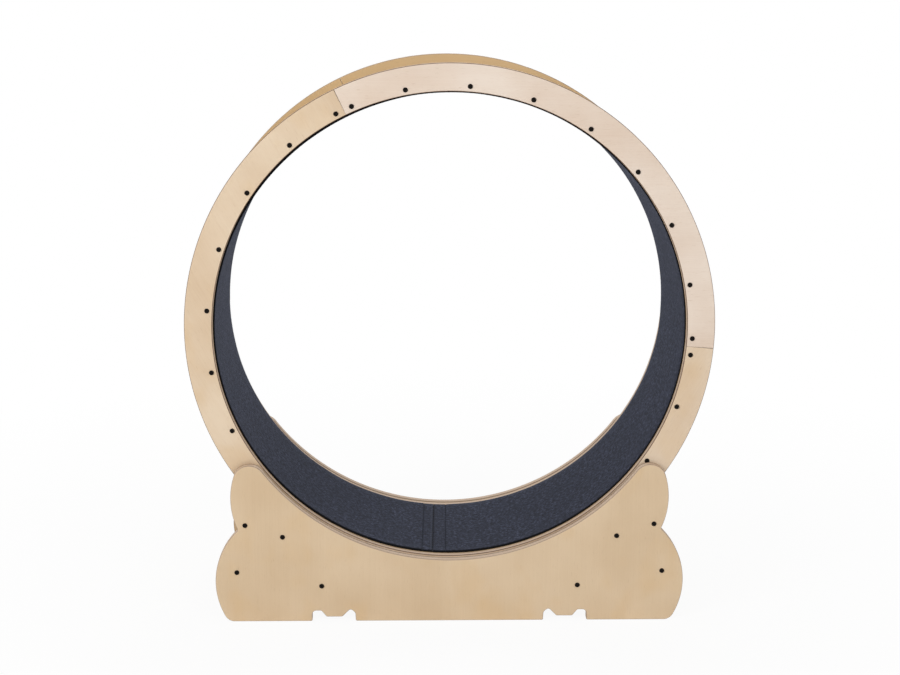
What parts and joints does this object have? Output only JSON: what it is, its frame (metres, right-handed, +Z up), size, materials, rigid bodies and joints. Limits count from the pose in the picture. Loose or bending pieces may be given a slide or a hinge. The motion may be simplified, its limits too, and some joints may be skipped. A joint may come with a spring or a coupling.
{
  "type": "exercise wheel",
  "caption": "Free-standing pet exercise wheel: a carpeted plywood drum of rings and slats that turns on grooved rollers between shaped base panels.",
  "frame": {"origin": "on the floor, under the wheel's axis and halfway between its two rings", "axes": "+X to the right in the front view, +Y to the back along the wheel's axis, +Z up"},
  "size_m": [1.1599, 0.398, 1.242],
  "materials": {
    "birch_plywood": "clear satin birch plywood",
    "slat_wood": "plain sanded wood",
    "track_plywood": "thin bent birch plywood",
    "carpet": "short dense needle felt",
    "black_screw": "black oxide",
    "nylon": "off-white nylon",
    "bearing_steel": "bright steel"
  },
  "bodies": {
    "base": {"front_base_panel": "birch_plywood", "rear_base_panel": "birch_plywood", "front_base_screws": "black_screw", "rear_base_screws": "black_screw", "end_board_left": "slat_wood", "end_board_right": "slat_wood", "lower_rail_left": "slat_wood", "lower_rail_right": "slat_wood", "roller_inner_races": "bearing_steel", "roller_axle_spacers": "bearing_steel", "roller_axle_nuts": "bearing_steel", "roller_axle_bolts": "black_screw"},
    "wheel": {"front_ring_segment_1": "birch_plywood", "front_ring_segment_2": "birch_plywood", "front_ring_segment_3": "birch_plywood", "rear_ring_segment_1": "birch_plywood", "rear_ring_segment_2": "birch_plywood", "rear_ring_segment_3": "birch_plywood", "slat_01": "slat_wood", "slat_02": "slat_wood", "slat_03": "slat_wood", "slat_04": "slat_wood", "slat_05": "slat_wood", "slat_06": "slat_wood", "slat_07": "slat_wood", "slat_08": "slat_wood", "slat_09": "slat_wood", "slat_10": "slat_wood", "slat_11": "slat_wood", "slat_12": "slat_wood", "slat_13": "slat_wood", "slat_14": "slat_wood", "slat_15": "slat_wood", "slat_16": "slat_wood", "slat_17": "slat_wood", "slat_18": "slat_wood", "slat_19": "slat_wood", "slat_20": "slat_wood", "slat_21": "slat_wood", "joint_slat_1": "slat_wood", "joint_slat_2": "slat_wood", "joint_slat_3": "slat_wood", "track_panel_1": "track_plywood", "track_panel_2": "track_plywood", "track_panel_3": "track_plywood", "running_carpet": "carpet", "front_ring_screws": "black_screw", "rear_ring_screws": "black_screw"},
    "roller_front_left": {"roller_front_left_tyre": "nylon", "roller_front_left_outer_race": "bearing_steel"},
    "roller_front_right": {"roller_front_right_tyre": "nylon", "roller_front_right_outer_race": "bearing_steel"},
    "roller_rear_left": {"roller_rear_left_tyre": "nylon", "roller_rear_left_outer_race": "bearing_steel"},
    "roller_rear_right": {"roller_rear_right_tyre": "nylon", "roller_rear_right_outer_race": "bearing_steel"}
  },
  "joints": [
    {"name": "wheel_spin", "type": "hinge", "parent": "base", "child": "wheel", "pos_m": [0, 0, 0.662], "axis": [0, 1, 0], "continuous": true},
    {"name": "roller_front_left_spin", "type": "hinge", "parent": "base", "child": "roller_front_left", "pos_m": [-0.37008, -0.165, 0.19674], "axis": [0, 1, 0], "continuous": true},
    {"name": "roller_front_right_spin", "type": "hinge", "parent": "base", "child": "roller_front_right", "pos_m": [0.37008, -0.165, 0.19674], "axis": [0, 1, 0], "continuous": true},
    {"name": "roller_rear_left_spin", "type": "hinge", "parent": "base", "child": "roller_rear_left", "pos_m": [-0.37008, 0.165, 0.19674], "axis": [0, 1, 0], "continuous": true},
    {"name": "roller_rear_right_spin", "type": "hinge", "parent": "base", "child": "roller_rear_right", "pos_m": [0.37008, 0.165, 0.19674], "axis": [0, 1, 0], "continuous": true}
  ],
  "couplings": [
    {"joint": "roller_front_left_spin", "follows": "wheel_spin", "ratio": -40.845},
    {"joint": "roller_front_right_spin", "follows": "wheel_spin", "ratio": -40.845},
    {"joint": "roller_rear_left_spin", "follows": "wheel_spin", "ratio": -40.845},
    {"joint": "roller_rear_right_spin", "follows": "wheel_spin", "ratio": -40.845}
  ]
}
